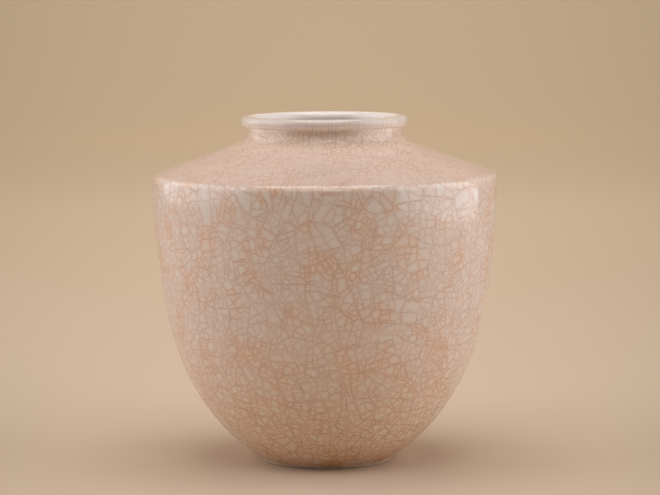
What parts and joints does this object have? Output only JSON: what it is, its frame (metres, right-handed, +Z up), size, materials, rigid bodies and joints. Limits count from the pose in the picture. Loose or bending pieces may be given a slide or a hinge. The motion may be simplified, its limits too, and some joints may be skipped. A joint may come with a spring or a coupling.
{
  "type": "vase",
  "caption": "Broad-shouldered vase with a sharp arris, low conical shoulder, short coved neck, rolled lip and small turned foot, crackle-glazed outside and plain-glazed inside.",
  "frame": {"origin": "centre of the foot ring's flat bottom, on the vase's axis", "axes": "+Z up along the axis of the vase, which is round about it, so X and Y are any two level directions"},
  "size_m": [0.1794, 0.1794, 0.18],
  "materials": {
    "clay": "matte",
    "slip": "matte",
    "crackle_glaze": "gloss",
    "liner_glaze": "gloss"
  },
  "bodies": {
    "root": {"lower_body": "clay", "shoulder": "clay", "neck": "clay", "shoulder_slip": "slip", "neck_slip": "slip", "outer_glaze": "crackle_glaze", "inner_glaze": "liner_glaze", "base_glaze": "liner_glaze"}
  },
  "joints": []
}
